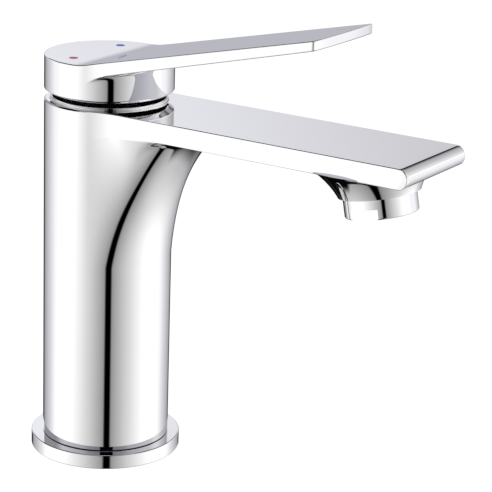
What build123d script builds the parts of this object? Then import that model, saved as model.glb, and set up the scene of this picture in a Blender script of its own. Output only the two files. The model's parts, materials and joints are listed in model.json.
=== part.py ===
from build123d import *
from math import acos, atan, cos, radians, sin, sqrt, tan
import os

# Single-lever bathroom basin mixer, in millimetres.
# Origin: centre of the base on the deck. +Z up, +X along the spout, -Y the hot side.

# ---- driving dimensions: body and spout ----
BODY_R = 23.0
RIM_Z = 130.65                  # top of the body and of the spout
RIM_CHAMFER = 0.5
BASE_R = 27.2
BASE_T = 5.3
SPOUT_T = 7.0
SPOUT_HALF_W = 20.0
SPOUT_TIP_X = 131.0
SPOUT_Z = RIM_Z - SPOUT_T       # underside of the spout
NECK_Z = 74.4                   # height where the neck starts to sweep forward
NECK_SWEEP_R = 87.2             # radius at which the neck's front line starts, seen from the side
NECK_SWEEP_MORE = 1e-6          # further gain of the front line with the fourth power of the rise
NECK_FLANK = 71.2               # the body's circle gives way to the neck's flank at this angle
FLANK_REACH = (17.0, -9.5)      # how the flank's two handles grow with the share of the rise
FRONT_REACH = (-2.4, 19.5)

# ---- driving dimensions: outlet, on an axis that leans forward ----
AERATOR_TILT = 11.2
BOSS_FACE = (110.4, 0, 115.5)   # centre of the outlet boss's lower face
BOSS_R = 13.9
BOSS_FLARE = ((BOSS_R, 0), (15.1, 2.1), (16.2, 4.2), (17.2, 6.1), (18.8, 8.4), (21.2, 11.6))  # radius, height
BOSS_TOP = 14.0
BOSS_ROOT = 1.0                 # the boss ends this far inside the spout
THREAD_R = 12.0                 # M24 x 1 socket
SOCKET_DEPTH = 6.4
COLLAR_R = 12.4
COLLAR_H = 6.9
FLAT_DEPTH = 1.1                # wrench flats on the collar
FLAT_H = 3.5
LIP_R = 9.6                     # inner radius of the collar's lower lip
LIP_H = 1.5
STACK_R = 10.45                 # radius of the aerator's inner pieces
GRID_T = 1.5
INSERT_H = 7.5
REGULATOR_R = 9.25
SCREEN_Z = 3.6                  # heights above the boss's lower face
WASHER_Z = 5.0

# ---- driving dimensions: waterways and chamber ----
FLOOR_Z = 85.0                  # chamber floor, where the cartridge stands
CHAMBER_R = 17.5
NUT_SEAT_Z = 117.5
NUT_R = 19.5
NUT_SLOT = (3.4, 4.0, 6.2)      # six spanner slots
TRIM_SEAT_Z = 127.0
TRIM_BORE_R = 21.0
TRIM_INNER_R = 17.6
TRIM_TOP_Z = 131.7
FOOT_R = 19.5                   # threaded bore for the inlet block
FOOT_H = 18.0                   # height of the inlet block
GASKET_T = 1.0                  # gasket on top of it
GALLERY_TOP_Z = 74.0
GALLERY_R = 18.5
WEB = 3.0                       # wall between the hot and cold galleries
INLET_XY = (-4.0, 10.0)
INLET_R = 5.0                   # M10 x 1
INLET_DEPTH = 13.0
STUD_X = 11.0
STUD_R = 4.0                    # M8
STUD_DEPTH = 14.0
PORT_XY = (-5.5, 7.5)
PORT_R = 3.2
OUTLET_X = 8.5
OUTLET_R = 3.6
PEG_Y = 13.0
PEG_R = 1.8
PEG_DEPTH = 2.5
MIXED_HALF_W = 6.5              # half-width of the mixed-water passage in the neck
MIXED_X = (4.9, 12.1)           # the passage rises to the outlet port between these
MIXED_Z = (78.5, 82.5)          # and runs forward between these
MIXED_FRONT = ((22.6, 95.0), (28.5, 116.0))
MIXED_REAR = ((23.4, 117.0), (20.4, 97.0))
CHANNEL_TOP_Z = 129.3           # waterway along the spout
CHANNEL_LOW_Z = 126.0
CHANNEL_X = (23.5, 118.5)
CHANNEL_HALF_W = 14.0

# ---- driving dimensions: cartridge ----
BASE_TOP_Z = 90.5               # top of the cartridge's base
DISC_T = 3.5                    # each ceramic disc
FIXED_DISC_R = 13.5
MOVING_DISC_R = 11.5
DISC_REST_X = -1.7              # the moving disc rests behind the axis and slides forward
CARRIER_TOP_Z = 103.8
BALL_Z = 102.0
BALL_R = 3.4
PIVOT_Z = 112.0                 # lift axis
PIVOT_R = 1.75
PIN_HALF_L = 12.8
CAVITY_R = 15.3
CAVITY_TOP_Z = 107.7
SLEEVE_BORE_R = 13.5
SLEEVE_TOP_Z = 126.5
HOUSING_TOP_Z = 125.5
STEM_W = 8.0
STEM_TOP_Z = 142.0
STEM_NECK_Z = 106.5
STEM_NECK_R = 2.3
SEAT_FIT = 0.1                  # radial clearance of the cartridge in its chamber
SEAL_R = 0.8                    # section radius of the port seals
SEAL_GAP = 0.9                  # their distance from the port's edge
HOUSING_NECK_R = 15.6
SLEEVE_LOW_Z = 105.0
SLEEVE_FLANGE_T = 2.4
SLOT_LENGTH = 17.0              # slot of the stem through the sleeve
SLOT_X = -1.5
GUIDE_SEAL_Z = 119.7
GUIDE_SEAL_R = 12.75
GUIDE_SEAL_SECTION = 0.62
FIT = 0.05                      # radial running clearance

# ---- driving dimensions: handle ----
CAP_TOP_Z = 146.36
CAP_EDGE_Z = 134.4              # top of the chamfer under the cap
CAP_LOW_Z = 133.05
CAP_LOW_R = 21.0
CAP_CAVITY_R = 20.6
CAP_CEILING_Z = 143.3
LEVER_RISE = 12.85              # degrees
LEVER_Z0 = 145.475              # height of the lever's top plane above the axis
LEVER_TIP_X = 95.5
LEVER_TIP_HALF_W = 19.1
LEVER_ROOT_HALF_W = 21.5        # the lever's sides, drawn on to the axis
LEVER_BLEND_R = 35.0            # hollow curve from the hub into the lever's side
LEVER_CORNER = 1.0
LEVER_END_SAG = 1.1
LEVER_T0 = 5.04                 # thickness at the axis, measured straight down
LEVER_THIN = 0.017              # loss of thickness per millimetre
SOCKET_R = 8.5
SOCKET_LOW_Z = 134.5
SCREW_Z = 139.6
SCREW_X = -9.5                  # outer end of the set screw
PLUG_X = -22.85
PLUG_T = 3.5
SCREW_R = 2.5
DOT_XY = (-5.5, 13.8)
DOT_R = 1.6
DOT_T = 0.6

PORTS = {                       # x, y and radius of the ports under the discs
    "hot": (PORT_XY[0], -PORT_XY[1], PORT_R),
    "cold": (PORT_XY[0], PORT_XY[1], PORT_R),
    "outlet": (OUTLET_X, 0, OUTLET_R),
}
up_axis = (-sin(radians(AERATOR_TILT)), 0, cos(radians(AERATOR_TILT)))
out_axis = (cos(radians(AERATOR_TILT)), 0, sin(radians(AERATOR_TILT)))
OUTLET = Plane(origin=BOSS_FACE, x_dir=out_axis, z_dir=up_axis)
OUTLET_SIDE = Plane(origin=BOSS_FACE, x_dir=out_axis, z_dir=(0, -1, 0))
OUTLET_AXIS = Axis(BOSS_FACE, up_axis)


def save(part, label):
    part.label = label
    export_step(part, f"parts/{label}.step")


def neck_section(z):
    """Outline of the neck at height z: the body's circle drawn out forward by a Bezier flank."""
    rise = z - NECK_Z
    share = rise / (SPOUT_Z - NECK_Z)
    front = BODY_R + rise**2 / (2 * NECK_SWEEP_R) + NECK_SWEEP_MORE * rise**4
    flank = radians(NECK_FLANK)
    handle = 4 / 3 * tan(flank / 4) * BODY_R    # makes the flank round where the neck starts
    rear_handle = handle + FLANK_REACH[0] * share + FLANK_REACH[1] * share**2
    front_handle = handle + FRONT_REACH[0] * share + FRONT_REACH[1] * share**2
    rear_x, rear_y = BODY_R * cos(flank), BODY_R * sin(flank)
    side_x, side_y = rear_x + rear_handle * sin(flank), rear_y - rear_handle * cos(flank)
    with BuildSketch(Plane.XY.offset(z)) as section:
        with BuildLine():
            ThreePointArc((rear_x, rear_y), (-BODY_R, 0), (rear_x, -rear_y))
            Bezier((rear_x, -rear_y), (side_x, -side_y), (front, -front_handle), (front, 0))
            Bezier((front, 0), (front, front_handle), (side_x, side_y), (rear_x, rear_y))
        make_face()
    return section.sketch


def ring(major_r, section_r, centre, plane=Plane.XY):
    """O-ring of round section around the plane's normal."""
    with BuildPart() as o_ring:
        with BuildSketch(Plane(origin=centre, x_dir=plane.x_dir, z_dir=-plane.y_dir)):
            with Locations((major_r, 0)):
                Circle(section_r)
        revolve(axis=Axis(centre, plane.z_dir))
    return o_ring.part


def outlet_boss():
    """Flared boss of the aerator, cut off inside the spout."""
    with BuildPart() as boss:
        with BuildSketch(OUTLET_SIDE):
            with BuildLine():
                Line((0, 0), (BOSS_R, 0))
                Spline(*BOSS_FLARE)
                Polyline(BOSS_FLARE[-1], (BOSS_FLARE[-1][0], BOSS_TOP), (0, BOSS_TOP), (0, 0))
            make_face()
        revolve(axis=OUTLET_AXIS)
        split(bisect_by=Plane.XY.offset(SPOUT_Z + BOSS_ROOT), keep=Keep.BOTTOM)
    return boss.part


def body_outline():
    """Outer shape of the body casting, before any hollow is cut."""
    neck_levels = (77, 83, 89, 95, 101, 107, 113, 119, SPOUT_Z)
    tip_r = SPOUT_T / 2
    with BuildPart() as outer:
        with BuildSketch(Plane.XY.offset(BASE_T)):
            Circle(BODY_R)
        extrude(amount=neck_levels[0] - BASE_T)
        loft([neck_section(z) for z in neck_levels])
        with BuildSketch(Plane.XY.offset(SPOUT_Z)):
            Circle(BODY_R)
        extrude(amount=SPOUT_T)
        chamfer(edges().group_by(Axis.Z)[-1], RIM_CHAMFER)
        with BuildSketch(Plane.XZ):
            with BuildLine():
                end_x = SPOUT_TIP_X - tip_r
                Polyline((end_x, RIM_Z), (0, RIM_Z), (0, SPOUT_Z), (end_x, SPOUT_Z))
                ThreePointArc((end_x, SPOUT_Z), (SPOUT_TIP_X, SPOUT_Z + tip_r), (end_x, RIM_Z))
            make_face()
        extrude(amount=SPOUT_HALF_W, both=True)
        add(outlet_boss())
    return outer.part


os.makedirs("parts", exist_ok=True)

# ---- body ----
with BuildPart() as body_casting:
    add(body_outline())
    # chamber, nut thread and seat of the trim ring
    with BuildSketch(Plane.XY.offset(FLOOR_Z)):
        Circle(CHAMBER_R)
    extrude(amount=RIM_Z - FLOOR_Z, mode=Mode.SUBTRACT)
    with BuildSketch(Plane.XY.offset(NUT_SEAT_Z)):
        Circle(NUT_R)
    extrude(amount=RIM_Z - NUT_SEAT_Z, mode=Mode.SUBTRACT)
    with BuildSketch(Plane.XY.offset(TRIM_SEAT_Z)):
        Circle(TRIM_BORE_R)
    extrude(amount=RIM_Z - TRIM_SEAT_Z, mode=Mode.SUBTRACT)
    # bore of the inlet block, then the hot and cold galleries either side of a web
    gallery_z = FOOT_H + GASKET_T
    with BuildSketch(Plane.XY.offset(BASE_T)):
        Circle(FOOT_R)
    extrude(amount=gallery_z - BASE_T, mode=Mode.SUBTRACT)
    with BuildSketch(Plane.XY.offset(gallery_z)):
        Circle(GALLERY_R)
        Rectangle(3 * GALLERY_R, WEB, mode=Mode.SUBTRACT)
    extrude(amount=GALLERY_TOP_Z - gallery_z, mode=Mode.SUBTRACT)
    # ports under the cartridge and the holes of its pegs
    port_z = (GALLERY_TOP_Z + FLOOR_Z) / 2
    with Locations(*[(PORT_XY[0], side * PORT_XY[1], port_z) for side in (-1, 1)]):
        Cylinder(PORT_R, FLOOR_Z - GALLERY_TOP_Z + 2, mode=Mode.SUBTRACT)
    with Locations(*[(0, side * PEG_Y, FLOOR_Z) for side in (-1, 1)]):
        Cylinder(PEG_R + SEAT_FIT, 2 * PEG_DEPTH + 0.8, mode=Mode.SUBTRACT)
    # mixed water: from the outlet port forward, up through the neck and along the spout
    with BuildSketch(Plane.XZ):
        Polygon((MIXED_X[0], FLOOR_Z + 0.5), (MIXED_X[0], MIXED_Z[0]), (20.8, MIXED_Z[0]), *MIXED_FRONT,
                (30.0, CHANNEL_TOP_Z), (23.6, CHANNEL_TOP_Z), *MIXED_REAR,
                (19.3, MIXED_Z[1]), (MIXED_X[1], MIXED_Z[1]), (MIXED_X[1], FLOOR_Z + 0.5), align=None)
    extrude(amount=MIXED_HALF_W, both=True, mode=Mode.SUBTRACT)
    with BuildSketch(Plane.XY.offset(CHANNEL_LOW_Z)):
        with Locations((sum(CHANNEL_X) / 2, 0)):
            Rectangle(CHANNEL_X[1] - CHANNEL_X[0], 2 * CHANNEL_HALF_W)
    extrude(amount=CHANNEL_TOP_Z - CHANNEL_LOW_Z, mode=Mode.SUBTRACT)
    # threaded socket of the aerator and its supply
    with BuildSketch(OUTLET):
        Circle(THREAD_R)
    extrude(amount=SOCKET_DEPTH, mode=Mode.SUBTRACT)
    with BuildSketch(OUTLET.offset(SOCKET_DEPTH - 0.5)):
        Circle(8.0)
    extrude(amount=6.0, mode=Mode.SUBTRACT)
save(body_casting.part, "body_casting")

with BuildPart() as inlet_block:
    with BuildSketch():
        Circle(FOOT_R - FIT)
    extrude(amount=FOOT_H)
    chamfer(edges().filter_by(GeomType.CIRCLE), 0.5)
    with Locations(*[(INLET_XY[0], side * INLET_XY[1], INLET_DEPTH / 2) for side in (-1, 1)]):
        Cylinder(INLET_R, INLET_DEPTH, mode=Mode.SUBTRACT)
    with Locations(*[(INLET_XY[0], side * INLET_XY[1], FOOT_H / 2) for side in (-1, 1)]):
        Cylinder(INLET_R - 1, FOOT_H + 1, mode=Mode.SUBTRACT)
    with Locations((STUD_X, 0, STUD_DEPTH / 2)):
        Cylinder(STUD_R, STUD_DEPTH, mode=Mode.SUBTRACT)
save(inlet_block.part, "inlet_block")

with BuildPart() as foot_gasket:
    with BuildSketch(Plane.XY.offset(FOOT_H)):
        Circle(FOOT_R - FIT)
        Circle(GALLERY_R - 1, mode=Mode.SUBTRACT)
        Rectangle(2 * GALLERY_R - 1, WEB + 1)
    extrude(amount=GASKET_T)
save(foot_gasket.part, "foot_gasket")

with BuildPart() as base_plate:
    with BuildSketch():
        Circle(BASE_R)
        Circle(FOOT_R + SEAT_FIT, mode=Mode.SUBTRACT)
    extrude(amount=BASE_T)
    fillet(edges().filter_by(GeomType.CIRCLE).filter_by(lambda e: e.radius > BASE_R - 0.1), 0.4)
    with BuildSketch():
        Circle(24.8)
        Circle(22.2, mode=Mode.SUBTRACT)
    extrude(amount=2.4, mode=Mode.SUBTRACT)
    with BuildSketch(Plane.XY.offset(BASE_T)):
        Circle(22.3)
        Circle(20.4, mode=Mode.SUBTRACT)
    extrude(amount=-1.8, mode=Mode.SUBTRACT)
save(base_plate.part, "base_plate")

save(ring(23.5, 1.2, (0, 0, 1.2)), "base_gasket")
save(ring(21.35, 0.9, (0, 0, BASE_T - 0.9)), "body_seal")

# ---- cartridge ----
with BuildPart() as cartridge_base:
    with BuildSketch(Plane.XY.offset(FLOOR_Z)):
        Circle(CHAMBER_R - SEAT_FIT)
    extrude(amount=BASE_TOP_Z - FLOOR_Z)
    with Locations(*[(0, side * PEG_Y, FLOOR_Z - PEG_DEPTH / 2) for side in (-1, 1)]):
        Cylinder(PEG_R, PEG_DEPTH)
    for x, y, r in PORTS.values():
        with Locations((x, y, FLOOR_Z)):
            Cylinder(r, 3 * (BASE_TOP_Z - FLOOR_Z), mode=Mode.SUBTRACT)
            Cylinder(r + 2 * SEAL_GAP, 4 * SEAL_R, mode=Mode.SUBTRACT)
save(cartridge_base.part, "cartridge_base")

for label, (x, y, r) in PORTS.items():
    save(ring(r + SEAL_GAP, SEAL_R, (x, y, FLOOR_Z + SEAL_R)), f"{label}_port_seal")

with BuildPart() as fixed_disc:
    with BuildSketch(Plane.XY.offset(BASE_TOP_Z)):
        Circle(FIXED_DISC_R)
        with Locations((PORT_XY[0], PORT_XY[1]), (PORT_XY[0], -PORT_XY[1]), (OUTLET_X, 0)):
            Circle(PORT_R, mode=Mode.SUBTRACT)
    extrude(amount=DISC_T)
save(fixed_disc.part, "fixed_ceramic_disc")

moving_z = BASE_TOP_Z + DISC_T
with BuildPart() as moving_disc:
    with BuildSketch(Plane.XY.offset(moving_z)):
        with Locations((DISC_REST_X, 0)):
            Circle(MOVING_DISC_R)
    extrude(amount=DISC_T)
    with BuildSketch(Plane.XY.offset(moving_z)):
        with Locations((DISC_REST_X + 4, 0)):
            Circle(6.5)
    extrude(amount=1.8, mode=Mode.SUBTRACT)
save(moving_disc.part, "moving_ceramic_disc")

carrier_z = moving_z + DISC_T
with BuildPart() as disc_carrier:
    with BuildSketch(Plane.XY.offset(carrier_z)):
        with Locations((DISC_REST_X, 0)):
            Circle(MOVING_DISC_R)
    extrude(amount=3.0)
    with BuildSketch(Plane.XY.offset(carrier_z)):
        Circle(6.2)
    extrude(amount=CARRIER_TOP_Z - carrier_z)
    with BuildSketch(Plane.XY.offset(BALL_Z - BALL_R - 0.6)):
        Circle(BALL_R + 0.5)
    extrude(amount=10, mode=Mode.SUBTRACT)
save(disc_carrier.part, "disc_carrier")

with BuildPart() as cartridge_housing:
    with BuildSketch(Plane.XY.offset(BASE_TOP_Z)):
        Circle(CHAMBER_R - SEAT_FIT)
    extrude(amount=NUT_SEAT_Z - BASE_TOP_Z)
    with BuildSketch(Plane.XY.offset(NUT_SEAT_Z)):
        Circle(HOUSING_NECK_R)
    extrude(amount=HOUSING_TOP_Z - NUT_SEAT_Z)
    with BuildSketch(Plane.XY.offset(BASE_TOP_Z)):
        Circle(CAVITY_R)
    extrude(amount=CAVITY_TOP_Z - BASE_TOP_Z, mode=Mode.SUBTRACT)
    with BuildSketch(Plane.XY.offset(CAVITY_TOP_Z)):
        Circle(SLEEVE_BORE_R)
    extrude(amount=HOUSING_TOP_Z - CAVITY_TOP_Z, mode=Mode.SUBTRACT)
save(cartridge_housing.part, "cartridge_housing")

with BuildPart() as lever_guide:
    with BuildSketch(Plane.XY.offset(SLEEVE_LOW_Z)):
        Circle(CAVITY_R - 0.3)
    extrude(amount=SLEEVE_FLANGE_T)
    with BuildSketch(Plane.XY.offset(SLEEVE_LOW_Z)):
        Circle(SLEEVE_BORE_R - 0.08)
    extrude(amount=SLEEVE_TOP_Z - SLEEVE_LOW_Z)
    with BuildSketch(Plane.XY.offset(SLEEVE_LOW_Z)):
        with Locations((SLOT_X, 0)):
            Rectangle(SLOT_LENGTH, STEM_W + 0.4)
    extrude(amount=SLEEVE_TOP_Z - SLEEVE_LOW_Z, mode=Mode.SUBTRACT)
    with BuildSketch(Plane.XY.offset(GUIDE_SEAL_Z - 0.7)):
        Circle(SLEEVE_BORE_R + 1)
        Circle(GUIDE_SEAL_R - 0.65, mode=Mode.SUBTRACT)
    extrude(amount=1.4, mode=Mode.SUBTRACT)
    with Locations(Location((0, 0, PIVOT_Z), (90, 0, 0))):
        Cylinder(PIVOT_R + 0.03, 40, mode=Mode.SUBTRACT)
save(lever_guide.part, "lever_guide")
save(ring(GUIDE_SEAL_R, GUIDE_SEAL_SECTION, (0, 0, GUIDE_SEAL_Z)), "guide_seal")

with BuildPart() as pivot_pin:
    with BuildSketch(Plane.XZ.offset(-PIN_HALF_L)):
        with Locations((0, PIVOT_Z)):
            Circle(PIVOT_R)
    extrude(amount=2 * PIN_HALF_L)
    chamfer(edges().filter_by(GeomType.CIRCLE), 0.3)
save(pivot_pin.part, "pivot_pin")

with BuildPart() as retaining_nut:
    with BuildSketch(Plane.XY.offset(NUT_SEAT_Z)):
        Circle(NUT_R - FIT)
        Circle(HOUSING_NECK_R + 0.3, mode=Mode.SUBTRACT)
    extrude(amount=TRIM_SEAT_Z - NUT_SEAT_Z)
    with PolarLocations(HOUSING_NECK_R + 0.6, 6):
        with Locations((0, 0, TRIM_SEAT_Z)):
            Box(*NUT_SLOT, mode=Mode.SUBTRACT)
save(retaining_nut.part, "retaining_nut")

with BuildPart() as trim_ring:
    with BuildSketch(Plane.XZ):
        with BuildLine():
            Polyline((20.5, TRIM_TOP_Z), (TRIM_INNER_R, TRIM_TOP_Z), (TRIM_INNER_R, TRIM_SEAT_Z),
                     (20.8, TRIM_SEAT_Z), (20.8, 129.0))
            ThreePointArc((20.8, 129.0), (TRIM_BORE_R - FIT, 130.2), (20.5, TRIM_TOP_Z))
        make_face()
    revolve()
save(trim_ring.part, "trim_ring")

# ---- handle ----
lever_slope = tan(radians(LEVER_RISE))
under_slope = lever_slope + LEVER_THIN
side_turn = atan((LEVER_ROOT_HALF_W - LEVER_TIP_HALF_W) / LEVER_TIP_X)
side_gap = LEVER_ROOT_HALF_W * cos(side_turn)   # from the axis to the lever's side
hub_turn = side_turn + acos((side_gap + LEVER_BLEND_R) / (BODY_R + LEVER_BLEND_R))
blend_x = (BODY_R + LEVER_BLEND_R) * sin(hub_turn)
blend_y = (BODY_R + LEVER_BLEND_R) * cos(hub_turn)
side_x = blend_x - LEVER_BLEND_R * sin(side_turn)
side_y = blend_y - LEVER_BLEND_R * cos(side_turn)
middle_turn = (side_turn + hub_turn) / 2
middle_x = blend_x - LEVER_BLEND_R * sin(middle_turn)
middle_y = blend_y - LEVER_BLEND_R * cos(middle_turn)
with BuildPart() as lever_handle:
    with BuildSketch(Plane.XZ):
        Polygon((2, LEVER_Z0 + 2 * lever_slope), (2, LEVER_Z0 - LEVER_T0 + 2 * under_slope),
                (99, LEVER_Z0 - LEVER_T0 + 99 * under_slope), (99, LEVER_Z0 + 99 * lever_slope), align=None)
    extrude(amount=30, both=True)
    with BuildSketch(Plane.XY.offset(120)):
        with BuildLine():
            end_x = LEVER_TIP_X - LEVER_END_SAG
            hub_x, hub_y = BODY_R * sin(hub_turn), BODY_R * cos(hub_turn)
            ThreePointArc((end_x, -LEVER_TIP_HALF_W), (LEVER_TIP_X, 0), (end_x, LEVER_TIP_HALF_W))
            Line((end_x, LEVER_TIP_HALF_W), (side_x, side_y))
            ThreePointArc((side_x, side_y), (middle_x, middle_y), (hub_x, hub_y))
            ThreePointArc((hub_x, hub_y), (-BODY_R, 0), (hub_x, -hub_y))
            ThreePointArc((hub_x, -hub_y), (middle_x, -middle_y), (side_x, -side_y))
            Line((side_x, -side_y), (end_x, -LEVER_TIP_HALF_W))
        make_face()
        fillet(vertices().group_by(Axis.X)[-1], LEVER_CORNER)
    extrude(amount=60, mode=Mode.INTERSECT)
    with BuildSketch(Plane.XZ):
        Polygon((0, CAP_LOW_Z), (CAP_LOW_R, CAP_LOW_Z), (BODY_R, CAP_EDGE_Z), (BODY_R, CAP_TOP_Z),
                (0, CAP_TOP_Z), align=None)
    revolve()
    # hollow underside, then the socket of the stem
    with BuildSketch(Plane.XY.offset(CAP_LOW_Z - 1)):
        Circle(CAP_CAVITY_R)
        Circle(SOCKET_R, mode=Mode.SUBTRACT)
    extrude(amount=CAP_CEILING_Z - CAP_LOW_Z + 1, mode=Mode.SUBTRACT)
    with BuildSketch(Plane.XY.offset(CAP_LOW_Z - 1)):
        Circle(SOCKET_R + 0.5)
    extrude(amount=SOCKET_LOW_Z - CAP_LOW_Z + 1, mode=Mode.SUBTRACT)
    with BuildSketch(Plane.XY.offset(SOCKET_LOW_Z - 1)):
        Rectangle(STEM_W + 0.1, STEM_W + 0.1)
    extrude(amount=STEM_TOP_Z + 0.1 - SOCKET_LOW_Z + 1, mode=Mode.SUBTRACT)
    # hole of the set screw, from the back
    with BuildSketch(Plane.YZ.offset(-BODY_R - 1)):
        with Locations((0, SCREW_Z)):
            Circle(SCREW_R)
    extrude(amount=BODY_R + 1 - STEM_W / 2, mode=Mode.SUBTRACT)
    # pockets of the temperature dots
    with Locations(*[(DOT_XY[0], side * DOT_XY[1], CAP_TOP_Z) for side in (-1, 1)]):
        Cylinder(DOT_R, 2 * DOT_T, mode=Mode.SUBTRACT)
save(lever_handle.part, "lever_handle")

for label, side in (("hot_dot", -1), ("cold_dot", 1)):
    with BuildPart() as dot:
        with BuildSketch(Plane.XY.offset(CAP_TOP_Z - DOT_T)):
            with Locations((DOT_XY[0], side * DOT_XY[1])):
                Circle(DOT_R)
        extrude(amount=DOT_T + 0.04)
    save(dot.part, label)

with BuildPart() as lever_stem:
    with BuildSketch(Plane.XY.offset(STEM_NECK_Z - 0.5)):
        Rectangle(STEM_W, STEM_W)
    extrude(amount=STEM_TOP_Z - STEM_NECK_Z + 0.5)
    chamfer(edges().group_by(Axis.Z)[-1], 0.6)
    with Locations((0, 0, (STEM_NECK_Z + BALL_Z) / 2)):
        Cylinder(STEM_NECK_R, STEM_NECK_Z - BALL_Z)
    with Locations((0, 0, BALL_Z)):
        Sphere(BALL_R)
    with Locations(Location((0, 0, PIVOT_Z), (90, 0, 0))):
        Cylinder(PIVOT_R + FIT, 30, mode=Mode.SUBTRACT)
save(lever_stem.part, "lever_stem")

with BuildPart() as set_screw:
    with BuildSketch(Plane.YZ.offset(SCREW_X)):
        with Locations((0, SCREW_Z)):
            Circle(SCREW_R - FIT)
    extrude(amount=-SCREW_X - STEM_W / 2)
    with BuildSketch(Plane.YZ.offset(SCREW_X)):
        with Locations((0, SCREW_Z)):
            RegularPolygon(1.25, 6, major_radius=False)
    extrude(amount=3.0, mode=Mode.SUBTRACT)
save(set_screw.part, "set_screw")

with BuildPart() as screw_plug:
    with BuildSketch(Plane.YZ.offset(PLUG_X)):
        with Locations((0, SCREW_Z)):
            Circle(SCREW_R - FIT)
    extrude(amount=PLUG_T)
save(screw_plug.part, "screw_plug")

# ---- aerator ----
with BuildPart() as aerator_ring:
    with BuildSketch(OUTLET.offset(-COLLAR_H)):
        Circle(COLLAR_R)
    extrude(amount=COLLAR_H)
    with BuildSketch(OUTLET):
        Circle(THREAD_R - FIT)
    extrude(amount=WASHER_Z)
    with BuildSketch(OUTLET.offset(-COLLAR_H)):
        Circle(LIP_R)
    extrude(amount=20, mode=Mode.SUBTRACT)
    with BuildSketch(OUTLET.offset(LIP_H - COLLAR_H)):
        Circle(STACK_R + FIT)
    extrude(amount=20, mode=Mode.SUBTRACT)
    with BuildSketch(OUTLET.offset(-COLLAR_H)):
        with Locations((0, COLLAR_R), (0, -COLLAR_R)):
            Rectangle(30, 2 * FLAT_DEPTH)
    extrude(amount=FLAT_H, mode=Mode.SUBTRACT)
save(aerator_ring.part, "aerator_ring")

with BuildPart() as aerator_grid:
    with BuildSketch(OUTLET.offset(LIP_H - COLLAR_H)):
        Circle(STACK_R)
        with GridLocations(2.3, 2.3, 7, 7) as cells:
            inner = [c for c in cells.local_locations if c.position.length < 7.6]
        with Locations(*inner):
            Rectangle(1.8, 1.8, mode=Mode.SUBTRACT)
    extrude(amount=GRID_T)
save(aerator_grid.part, "aerator_grid")

with BuildPart() as aerator_insert:
    with BuildSketch(OUTLET.offset(LIP_H + GRID_T - COLLAR_H)):
        Circle(STACK_R)
        Circle(REGULATOR_R + FIT, mode=Mode.SUBTRACT)
    extrude(amount=INSERT_H)
save(aerator_insert.part, "aerator_insert")

with BuildPart() as flow_regulator:
    with BuildSketch(OUTLET):
        Circle(REGULATOR_R)
        with PolarLocations(6.6, 12):
            Circle(0.8, mode=Mode.SUBTRACT)
    extrude(amount=2.2)
    with BuildSketch(OUTLET.offset(2.2)):
        Circle(3.0)
    extrude(amount=1.0)
save(flow_regulator.part, "flow_regulator")

with BuildPart() as aerator_screen:
    with BuildSketch(OUTLET.offset(SCREEN_Z)):
        Circle(STACK_R)
        with HexLocations(1.0, 9, 9) as cells:
            holes = [c for c in cells.local_locations if c.position.length < 8.6]
        with Locations(*holes):
            Circle(0.6, mode=Mode.SUBTRACT)
    extrude(amount=0.8)
save(aerator_screen.part, "aerator_screen")

with BuildPart() as aerator_washer:
    with BuildSketch(OUTLET.offset(WASHER_Z)):
        Circle(11.6)
        Circle(9.0, mode=Mode.SUBTRACT)
    extrude(amount=SOCKET_DEPTH - WASHER_Z)
save(aerator_washer.part, "aerator_washer")
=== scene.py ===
import json
from math import acos, atan2, ceil, cos, hypot, pi, radians, sin, sqrt, tan

import bmesh
import bpy
from mathutils import Matrix, Vector


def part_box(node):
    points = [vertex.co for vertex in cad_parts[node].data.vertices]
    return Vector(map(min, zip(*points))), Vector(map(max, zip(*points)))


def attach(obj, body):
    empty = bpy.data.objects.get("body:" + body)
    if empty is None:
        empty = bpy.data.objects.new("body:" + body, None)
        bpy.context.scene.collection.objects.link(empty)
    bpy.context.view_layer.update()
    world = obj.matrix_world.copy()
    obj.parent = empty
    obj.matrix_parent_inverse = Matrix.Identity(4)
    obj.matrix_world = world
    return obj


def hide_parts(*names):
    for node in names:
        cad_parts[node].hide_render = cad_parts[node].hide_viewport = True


# Single-lever bathroom basin mixer. Five chrome pieces are rebuilt as meshes, and the CAD's other
# nodes stay. The frame is the CAD's: +Z up, +X along the spout, -Y the hot side, Z = 0 on the deck.
# Shapes are worked out in millimetres and turned into metres where a mesh is made.

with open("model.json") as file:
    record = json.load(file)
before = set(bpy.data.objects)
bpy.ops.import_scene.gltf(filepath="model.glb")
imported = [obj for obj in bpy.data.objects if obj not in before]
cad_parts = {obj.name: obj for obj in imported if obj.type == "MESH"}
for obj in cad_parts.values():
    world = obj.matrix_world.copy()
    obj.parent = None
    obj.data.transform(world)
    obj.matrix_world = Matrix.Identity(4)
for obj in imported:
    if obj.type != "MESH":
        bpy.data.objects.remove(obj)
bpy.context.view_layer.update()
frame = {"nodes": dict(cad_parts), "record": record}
scene = bpy.context.scene
MM = 0.001


def box_mm(node):
    """Lowest and highest corners of a CAD node, in millimetres."""
    low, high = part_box(node)
    return Vector(low) / MM, Vector(high) / MM


body_low, body_high = box_mm("body_casting")
lever_low, lever_high = box_mm("lever_handle")
plate_high = box_mm("base_plate")[1]
trim_low, trim_high = box_mm("trim_ring")

# ---- camera ----
CAMERA_AZIMUTH = radians(32.293)
CAMERA_ELEVATION = radians(17.256)
CAMERA_ROLL = radians(1.847)
CAMERA_DISTANCE = 739.99 * MM
CAMERA_TARGET = Vector((59.074, 0, 87.057)) * MM
CAMERA_LENS = 156.8

# ---- studio ----
STUDIO_AZIMUTH = radians(38.3)  # direction of the dark slot, seen in the middle of the body
BACKGROUND = (1, 1, 1, 1)       # what the camera sees, and the chrome doesn't
CHROME_REFLECTANCE = 0.93
LIT_POINT = Vector((50, 0, 80)) * MM
NEARLY_BLACK = (0.002, 0.002, 0.002, 1)

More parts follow.
